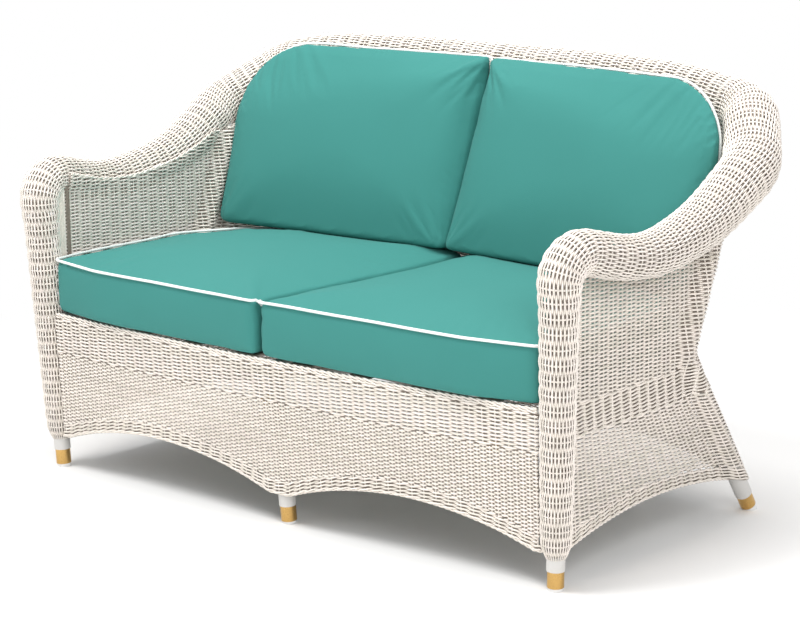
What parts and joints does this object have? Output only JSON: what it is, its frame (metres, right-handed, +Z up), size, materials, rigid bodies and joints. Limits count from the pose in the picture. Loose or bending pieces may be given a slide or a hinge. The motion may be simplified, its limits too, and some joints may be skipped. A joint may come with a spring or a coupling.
{
  "type": "patio loveseat",
  "caption": "Wicker-covered loveseat with a rolled rim along arms and back, arched skirts, ferruled feet and loose seat and back cushions.",
  "frame": {"origin": "middle of the loveseat's outer box, at floor level", "axes": "+X along the seat to the right as seen from the front, +Y from front to back, +Z up"},
  "size_m": [1.484, 0.8004, 0.864],
  "materials": {
    "wicker": "matte off-white lacquer over plain-woven round strands",
    "frame_paint": "satin pale grey-white powder coat",
    "former": "plain moulded, hidden inside the rolls",
    "webbing": "flat woven straps",
    "brass": "satin brass",
    "glide": "matte white",
    "cushion_fabric": "matte teal outdoor canvas",
    "piping": "matte white corded piping",
    "foam": "open-cell foam"
  },
  "bodies": {
    "frame": {"arm_formers_left": "former", "arm_formers_right": "former", "arm_roll_left": "wicker", "arm_roll_right": "wicker", "arm_tube_left": "frame_paint", "arm_tube_right": "frame_paint", "back_formers": "former", "back_roll": "wicker", "back_top_tube": "frame_paint", "back_upright_left": "frame_paint", "back_upright_middle": "frame_paint", "back_upright_right": "frame_paint", "back_weave": "wicker", "ferrule_front_left": "brass", "ferrule_front_middle": "brass", "ferrule_front_right": "brass", "ferrule_rear_left": "brass", "ferrule_rear_middle": "brass", "ferrule_rear_right": "brass", "foot_glides": "glide", "front_leg_left": "frame_paint", "front_leg_right": "frame_paint", "front_middle_leg": "frame_paint", "front_skirt_rod": "frame_paint", "front_skirt_weave": "wicker", "post_formers_left": "former", "post_formers_right": "former", "post_roll_left": "wicker", "post_roll_right": "wicker", "rear_leg_left": "frame_paint", "rear_leg_right": "frame_paint", "rear_middle_leg": "frame_paint", "rear_skirt_rod": "frame_paint", "rear_skirt_weave": "wicker", "seat_cross_tube": "frame_paint", "seat_front_braid": "wicker", "seat_front_rail": "frame_paint", "seat_rear_rail": "frame_paint", "seat_side_rail_left": "frame_paint", "seat_side_rail_right": "frame_paint", "seat_straps_across": "webbing", "seat_straps_lengthwise": "webbing", "side_skirt_rod_left": "frame_paint", "side_skirt_rod_right": "frame_paint", "side_weave_left": "wicker", "side_weave_right": "wicker"},
    "seat_cushion_left": {"seat_cushion_cover_left": "cushion_fabric", "seat_cushion_core_left": "foam", "seat_cushion_piping_left": "piping"},
    "back_cushion_left": {"back_cushion_cover_left": "cushion_fabric", "back_cushion_core_left": "foam", "back_cushion_piping_left": "piping"},
    "seat_cushion_right": {"seat_cushion_cover_right": "cushion_fabric", "seat_cushion_core_right": "foam", "seat_cushion_piping_right": "piping"},
    "back_cushion_right": {"back_cushion_cover_right": "cushion_fabric", "back_cushion_core_right": "foam", "back_cushion_piping_right": "piping"}
  },
  "joints": [
    {"name": "seat_cushion_left_lift", "type": "slide", "parent": "frame", "child": "seat_cushion_left", "axis": [0, 0, 1], "range_m": [0, 0.3]},
    {"name": "back_cushion_left_pull", "type": "slide", "parent": "seat_cushion_left", "child": "back_cushion_left", "axis": [0, -0.9397, 0.3419], "range_m": [0, 0.45]},
    {"name": "seat_cushion_right_lift", "type": "slide", "parent": "frame", "child": "seat_cushion_right", "axis": [0, 0, 1], "range_m": [0, 0.3]},
    {"name": "back_cushion_right_pull", "type": "slide", "parent": "seat_cushion_right", "child": "back_cushion_right", "axis": [0, -0.9397, 0.3419], "range_m": [0, 0.45]}
  ]
}
